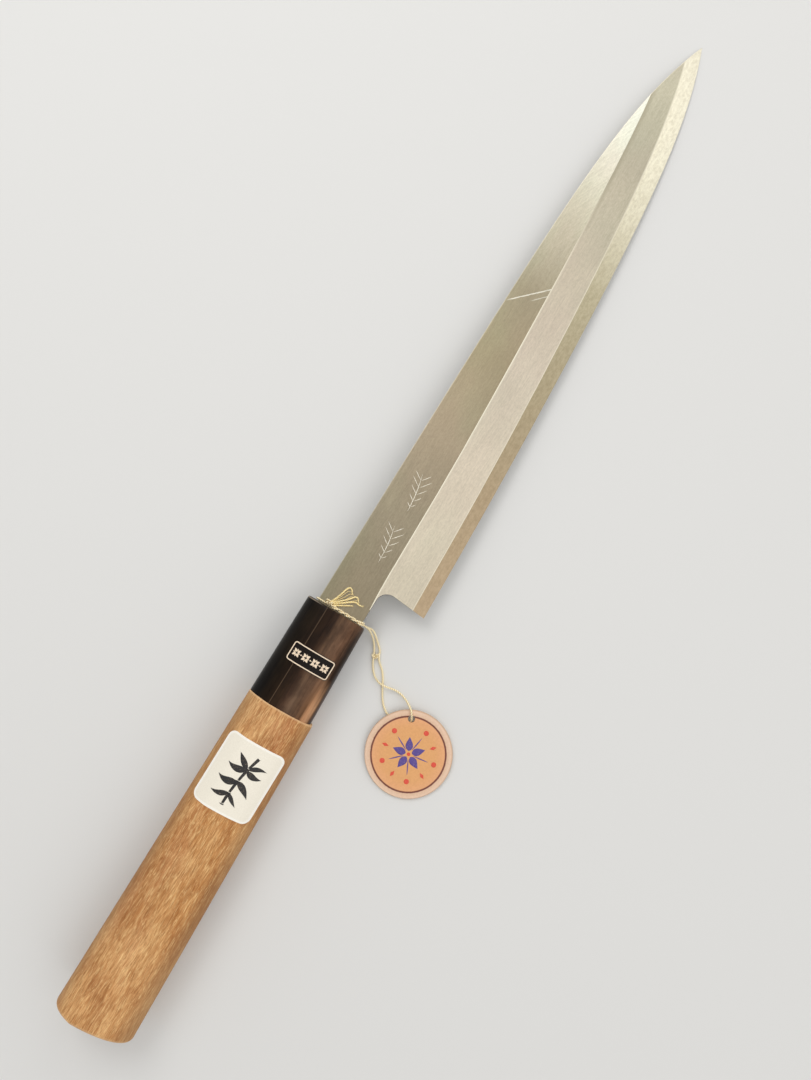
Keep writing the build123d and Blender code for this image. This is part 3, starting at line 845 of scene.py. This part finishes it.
def tag_card(finish):
    """The tag: a disc with a soft rim and a hole near it, as one closed band round the hole."""
    turn = np.linspace(0, 2 * math.pi, 144, endpoint=False)
    circle = np.stack([np.cos(turn), np.sin(turn)], -1)
    soft = 0.12
    hole = TAG_HOLE_RADIUS * circle + (TAG_HOLE_OFFSET, 0)
    plans = [hole + share * ((TAG_RADIUS - soft) * circle - hole) for share in np.linspace(0, 1, 12)]
    edge = TAG_RADIUS * circle
    lifts = [TAG_THICKNESS] * 12 + [TAG_THICKNESS - soft, soft] + [0.0] * 12
    lines = plans + [edge, edge] + plans[::-1]
    rings = np.stack([on_tag(line, lift) for line, lift in zip(lines, lifts)])
    return ringed("tag_card", rings, finish, ["paper_tag"], loop=True)


def spline_path(points):
    """Points along the smooth spline of order 3 that has the given control points, in metres."""
    curve = bpy.data.curves.new("route", "CURVE")
    curve.dimensions = "3D"
    curve.resolution_u = 12
    spline = curve.splines.new("NURBS")
    spline.points.add(len(points) - 1)
    spline.points.foreach_set("co", np.column_stack([points, np.ones(len(points))]).ravel())
    spline.order_u = 3
    spline.use_endpoint_u = True
    holder = bpy.data.objects.new("route", curve)
    line = bpy.data.meshes.new_from_object(holder)
    path = np.empty(len(line.vertices) * 3)
    line.vertices.foreach_get("co", path)
    bpy.data.objects.remove(holder)
    bpy.data.meshes.remove(line)
    bpy.data.curves.remove(curve)
    return path.reshape(-1, 3)


def stepped(path, step):
    """A path taken again at even steps, and the length up to each."""
    run = run_along(path)
    keep = np.concatenate([[True], np.diff(run) > 0])
    places = np.linspace(0, run[-1], max(4, int(run[-1] / step)))
    return taken_at(places, run[keep], path[keep]), places


def twisted_tube(path, diameter, taper=0, sides=14):
    """Rings of a two-strand thread along a path in metres, thinner by a share at its far end.

    The radius is a circle's with two lobes that turn once in each pitch, on normals carried along
    the path without twist.
    """
    path, run = stepped(path, 0.09 * MM)
    tangent = unit(np.gradient(path, axis=0))
    side = np.empty_like(tangent)
    side[0] = unit(np.cross(tangent[0], (0.3, 0.5, 0.8)))
    for i in range(1, len(path)):
        side[i] = unit(side[i - 1] - tangent[i] * (side[i - 1] @ tangent[i]))
    other = np.cross(tangent, side)
    turn = np.linspace(0, 2 * math.pi, sides, endpoint=False)
    lobes = turn - (2 * math.pi * run / (THREAD_PITCH * MM))[:, None]
    radius = diameter / 2 * MM * (0.87 + 0.13 * np.cos(2 * lobes)) * (1 - taper * run / run[-1])[:, None]
    around = np.cos(turn)[:, None] * side[:, None] + np.sin(turn)[:, None] * other[:, None]
    rings = path[:, None] + radius[..., None] * around
    uv = np.stack([lobes, np.zeros_like(lobes)], -1)
    return rings, uv, path


def thread(name, tubes, finish, replaced=()):
    """Several tubes of thread as one piece."""
    points, faces, marks, start = [], [], [], 0
    for rings, uv, _ in tubes:
        points.append(capped(rings))
        faces += ring_faces(*rings.shape[:2], start=start)
        marks += [uv.reshape(-1, 2), uv[0, :1], uv[-1, :1]]
        start += len(points[-1])
    return piece(
        name, np.concatenate(points), faces, finish, replaced,
        math.radians(80), np.concatenate(marks),
    )


def neck_thread(finish):
    """The tie: a strand round the neck and one up from under it, wound about each other on the face."""
    top, out, near = HEEL_THICKNESS + TIE_OUT + 0.05, TIE_OUT, 0.45
    edge, spine = -NECK_WIDTH - out, out
    y = np.linspace(-14.3, -4.6, 15)
    turn = 2 * math.pi * (y - y[0]) / TIE_PITCH

    def wound(phase):
        across, over = np.cos(turn + phase), np.sin(turn + phase)
        return np.column_stack([TIE_AT + 0.12 + 0.32 * across, y, top + 0.3 + 0.32 * over]).tolist()

    first = [(TIE_AT, edge, 2.55), (TIE_AT, edge, top - near), *wound(math.pi)]
    first += [(TIE_AT, *spot) for spot in (
        (-3.2, top), (spine - near, top), (spine, top), (spine, top - near), (spine, 1.6),
        (spine, -out + near), (spine, -out), (spine - near, -out), (-7.0, -out), (-NECK_WIDTH - 0.3, -out),
    )]
    second = [(TIE_AT + 0.7, *spot) for spot in (
        (-NECK_WIDTH + 1.2, -out), (edge + near, -out), (edge, -out), (edge, near - out), (edge, top - near),
    )]
    second += [*wound(0), (TIE_AT + 0.5, -3.4, top + 0.45)]
    tubes = [twisted_tube(spline_path(on_table(route)), THREAD) for route in (first, second)]
    return thread("neck_thread", tubes, finish, ["neck_tie"])


def knot_tube(centre, along, across, up, sizes, diameter):
    """A pulled overhand knot: a trefoil (sin t + 2 sin 2t, cos t - 2 cos 2t, -sin 3t), flattened."""
    t = np.linspace(0, 2 * math.pi, 200)
    plan = np.stack([np.sin(t) + 2 * np.sin(2 * t), np.cos(t) - 2 * np.cos(2 * t)], -1)
    shape = np.column_stack([plan, -np.sin(3 * t)])
    shape = shape / (3.0, 3.0, 1.0) * (np.array(sizes) / 2 - diameter / 2)
    return twisted_tube((centre + shape @ np.array([along, across, up])) * MM, diameter)


def neck_knot(finish):
    """The knot on top of the neck."""
    centre = on_table([[TIE_AT + 0.75, -3.3, HEEL_THICKNESS + 0.85]])[0] / MM
    tube = knot_tube(centre, (0, 1, 0), ALONG, UP, (2.7, 2.0, 1.6), 0.62)
    return thread("neck_knot", [tube], finish, ["tie_knot"])


def cord_knot(finish):
    """The knot that holds the two strands together beside the ferrule."""
    along = (math.cos(THREAD_KNOT_TURN), math.sin(THREAD_KNOT_TURN), 0)
    across = (-along[1], along[0], 0)
    tube = knot_tube(THREAD_KNOT_SPOT, along, across, (0, 0, 1), (2.9, 1.9, 1.5), 0.6)
    return thread("cord_knot", [tube], finish, ["thread_knot"])


def on_face(route, rise, diameter, taper, sides=14):
    """A thread along a smooth route over the blade's face, at a rise over it."""
    lift = HEEL_THICKNESS + 0.15 + FINE_THREAD / 2
    path = spline_path(on_table(np.column_stack([route, lift + rise])))
    return twisted_tube(path, diameter, taper, sides)


def hump(route, height):
    """A rise that starts low, is highest in the middle of a route and comes down to nothing."""
    return height * np.sin(np.linspace(0.3, math.pi, len(route)))


def loose_ends(finish):
    """The cut ends on the blade's face, each opening into three fine fibres, and hairs between them."""
    tubes = []
    for number, route in enumerate(END_ROUTES):
        rise = np.maximum(hump(route, 0.45) - 0.12 * number, 0)
        tubes.append(on_face(route, rise, FINE_THREAD, 0.15))
        end = np.array(route[-1])
        way = unit(end - route[-2])
        for spread in (-0.5, 0.05, 0.6):
            bend = end + 0.35 * way + 0.2 * spread * left_of(way)
            tail = (end, bend, end + 0.8 * way + 0.6 * spread * left_of(way))
            tubes.append(on_face(tail, np.array([0.0, 0.04 * spread, -0.1]), 0.2, 0.5, 6))
    tubes += [on_face(route, hump(route, 0.35), 0.26, 0.4, 6) for route in HAIR_ROUTES]
    return thread("loose_ends", tubes, finish, ["thread_ends"])


def tag_cord(finish, on_cord):
    """The thread to the tag and back, as one tube along its route."""
    points = np.array(THREAD_ROUTE) * MM
    tube = twisted_tube(spline_path(points), THREAD)
    made = thread("tag_cord", [tube], finish, ["tag_thread"])
    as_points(tube[2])
    return made


def bamboo():
    """Brushed bamboo for the handle's label: a jointed stem and leaves, as marks about its middle."""
    marks = []
    joints = ((7.6, -2.4), (3.6, -1.2), (-0.6, -0.4), (-4.6, 0.0), (-8.2, 0.1))
    for start, end in zip(joints, joints[1:]):
        start, end = np.array(start), np.array(end)
        run = end - start
        marks.append((start + 0.03 * run, start + 0.5 * run, end - 0.06 * run, 0.95, "stem"))
        marks.append((end + (0.0, -0.75), end + (-0.16, 0), end + (0.0, 0.75), 0.34, "brush"))
    leaves = (
        ((3.3, -1.0), (1.6, 1.8), (3.0, 4.8), 2.0), ((3.3, -1.0), (5.2, 1.4), (6.9, 3.2), 1.7),
        ((3.1, -1.3), (1.5, -3.4), (2.4, -6.0), 1.8), ((3.4, -1.4), (5.2, -3.4), (5.0, -6.2), 1.4),
        ((-0.8, -0.2), (-2.6, 2.3), (-1.3, 5.5), 2.1), ((-0.8, -0.4), (-1.6, -3.0), (-4.2, -5.2), 1.9),
        ((-4.6, 0.2), (-6.3, 2.1), (-6.0, 5.2), 1.6), ((-4.7, -0.1), (-6.2, -1.6), (-7.6, -3.6), 1.2),
    )
    marks += [(*leaf, "leaf") for leaf in leaves]
    return marks


def turned(mark, angle, middle=(0, 0)):
    """A mark turned about zero and moved to a middle."""
    *corners, width, taper = mark
    turn = np.array([[math.cos(angle), math.sin(angle)], [-math.sin(angle), math.cos(angle)]])
    return (*(corner @ turn + middle for corner in corners), width, taper)


def flower_row():
    """Four small flowers of four petals across the ferrule's label, with dots between them."""
    petal = ((0.25, 0), (0.8, 0), (1.5, 0), 0.85, "leaf")
    hair = ((0.5, 0), (0.85, 0), (1.2, 0), 0.26, "brush")
    quarter = math.pi / 2
    marks = [((-0.22, y), (0, y), (0.22, y), 0.44, "dot") for y in (-3.1, 0.0, 3.1)]
    for y in (-4.65, -1.55, 1.55, 4.65):
        marks += [turned(petal, quarter * (i + 0.5), (0, y)) for i in range(4)]
        marks += [turned(hair, quarter * i, (0, y)) for i in range(4)]
    return marks


def tag_star():
    """Five broad petals and five fine spokes round the tag's middle."""
    petal = ((1.0, 0), (3.0, 0), (5.2, 0), 2.3, "leaf")
    spoke = ((1.6, 0), (3.6, 0), (6.4, 0), 0.35, "brush")
    fifth = 2 * math.pi / 5
    spokes = [turned(spoke, fifth * (i + 0.5)) for i in range(5)]
    return [turned(petal, fifth * i) for i in range(5)] + spokes


def tag_dots():
    """A red middle, and five dots and four lozenges in turn round the star, none at the hole."""
    marks = [((-0.55, 0), (0, 0), (0.55, 0), 1.1, "dot")]
    fifth = 2 * math.pi / 5
    marks += [turned(((7.5, 0), (8.3, 0), (9.1, 0), 1.6, "dot"), fifth * (i + 0.5)) for i in range(5)]
    marks += [turned(((6.6, 0), (7.7, 0), (8.8, 0), 1.1, "lozenge"), fifth * i) for i in (1, 2, 3, 4)]
    return marks


def engraved_sprig():
    """Two fine scratched sprigs on the blade's face, each a stem with short side twigs."""
    marks = []
    for base, tip in (((49.5, -7.0), (37.0, -9.0)), ((31.5, -8.0), (19.0, -9.6))):
        base, tip = np.array(base), np.array(tip)
        way = unit(tip - base)
        side = left_of(way)
        marks.append((base, (base + tip) / 2 + 0.8 * side, tip, 0.2, "brush"))
        for share, reach in ((0.16, 3.2), (0.34, 3.8), (0.52, 3.2), (0.7, 2.4), (0.86, 1.6)):
            foot = base + share * (tip - base) + 0.7 * side * math.sin(math.pi * share)
            for hand in (-1, 1):
                end = foot - 0.75 * reach * way + hand * 0.8 * reach * side
                marks.append((foot, (foot + end) / 2 + 0.2 * hand * side, end, 0.17, "brush"))
    return marks


def sky():
    """A soft sky: even at the horizon, and overhead brighter beyond the point and on the edge side."""
    world = bpy.data.worlds.new("sky")
    world.use_nodes = True
    bpy.context.scene.world = world
    f = Nodes(world.node_tree)
    towards = f.axes(f.node("TexCoord", output="Generated"))
    gain = SKY_LEVEL - HORIZON_LEVEL
    for axis, low, high, more in SKY_SLOPES:
        gain = f.span(towards[axis], low, high, 0.0, more) + gain
    background = f.tree.nodes["Background"].inputs
    f.link(gain * f.span(towards[2], *HORIZON_REACH) + HORIZON_LEVEL, background["Strength"])
    f.link((255, 255, 255), background["Color"])


def floor_finish():
    """Pale and matt by the knife, and far from it, to the camera and in gloss, as even as the horizon."""
    f = Finish("pale floor", Base_Color=(220, 219, 216), Roughness=0.9)
    distance = f.vectors("LENGTH", f.node("TexCoord", output="Object"), output="Value")
    ray = f.node("LightPath").socket.node.outputs
    seen = f.maths("MAXIMUM", Value(f, ray["Is Camera Ray"]), Value(f, ray["Is Glossy Ray"]))
    near = Value(f, f.shader.outputs[0])
    far = f.node("Emission", {"Strength": HORIZON_LEVEL})
    surface = f.node("MixShader", {0: seen * f.span(distance, *FLOOR_FADE), 1: near, 2: far})
    f.link(surface, f.tree.nodes["Material Output"].inputs["Surface"])
    return f.material


def studio():
    """A pale floor under the soft sky, and lamps over the spine, the edge and the point."""
    mesh = bpy.data.meshes.new("floor")
    corners = [(-1, -1, 0), (1, -1, 0), (1, 1, 0), (-1, 1, 0)]
    mesh.from_pydata((np.array(corners) * FLOOR_REACH).tolist(), [], [(0, 1, 2, 3)])
    mesh.materials.append(floor_finish())
    floor = placed("floor", mesh)
    floor.location = (0, 0, -0.0001)
    sky()
    for name, size, spot, power in LAMPS:
        lamp = bpy.data.lights.new(name, "AREA")
        lamp.size = size
        lamp.energy = power
        holder = placed(name, lamp)
        holder.location = spot
        holder.rotation_mode = "QUATERNION"
        holder.rotation_quaternion = (-Vector(spot)).to_track_quat("-Z", "Y")


def camera():
    """The photograph's camera, nearly straight above the heel."""
    data = bpy.data.cameras.new("camera")
    data.sensor_width = 36
    data.lens = data.sensor_width * FOCAL_PIXELS / FRAME_HEIGHT_PIXELS
    data.clip_start = 0.01
    made = placed("camera", data)
    right = CAMERA_FORWARD.cross(CAMERA_UP).normalized()
    up = right.cross(CAMERA_FORWARD).normalized()
    turn = Matrix((right, up, -CAMERA_FORWARD)).transposed().to_4x4()
    made.matrix_world = Matrix.Translation(CAMERA_SPOT) @ turn
    bpy.context.scene.camera = made


def dress(node, material):
    """Give a carried-over node a material."""
    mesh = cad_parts[node].data
    mesh.materials.clear()
    mesh.materials.append(material)


bpy.context.scene.view_settings.view_transform = "Standard"
camera()
studio()

dress("blade_soft_iron", iron_finish())
dress("blade_hard_steel", steel_finish())
dress("tang_seal", resin_finish())
wooden_handle(wood_finish())
horn_ferrule(horn_finish())

white_paper = paper_finish("label paper", (243, 236, 220), GRIP_LABEL, (252, 248, 238), 0.4)
black_paper = paper_finish("dark label paper", (24, 18, 15), FERRULE_LABEL, (16, 12, 10), 0.12)
label("label_on_handle", GRIP_LABEL, grip_sizes, white_paper, "handle_label")
label("label_on_ferrule", FERRULE_LABEL, ferrule_sizes, black_paper, "ferrule_label")
over_paper = LABEL_THICKNESS + PRINT_THICKNESS
black_ink = ink_finish("black ink", (28, 26, 25))
cream_ink = ink_finish("cream ink", (236, 214, 186))
strokes(
    "label_brushwork", bamboo(), on_handle(grip_sizes), over_paper, black_ink,
    GRIP_LABEL["centre"],
)
strokes(
    "ferrule_label_marks", flower_row(), on_handle(ferrule_sizes), over_paper, cream_ink,
    FERRULE_LABEL["centre"],
)
border("ferrule_label_border", FERRULE_LABEL, ferrule_sizes, cream_ink)

card = tag_card(card_finish())
over_tag = TAG_THICKNESS + PRINT_THICKNESS
purple_ink = ink_finish("purple ink", (88, 70, 142))
red_ink = ink_finish("red ink", (220, 78, 58))
purple = strokes("tag_star", tag_star(), on_tag, over_tag, purple_ink)
red = strokes("tag_dots", tag_dots(), on_tag, over_tag, red_ink)

strokes("blade_engraving", engraved_sprig(), on_blade, PRINT_THICKNESS / 2, scratch_finish())

gold = thread_finish("gold thread", (186, 146, 84), (232, 204, 142), (252, 240, 204))
bright_gold = thread_finish("bright gold thread", (190, 140, 66), (240, 204, 126), (255, 240, 182))
neck_thread(gold)
neck_knot(gold)
loose_ends(bright_gold)
tag_cord(gold, [cord_knot(gold), card, purple, red])
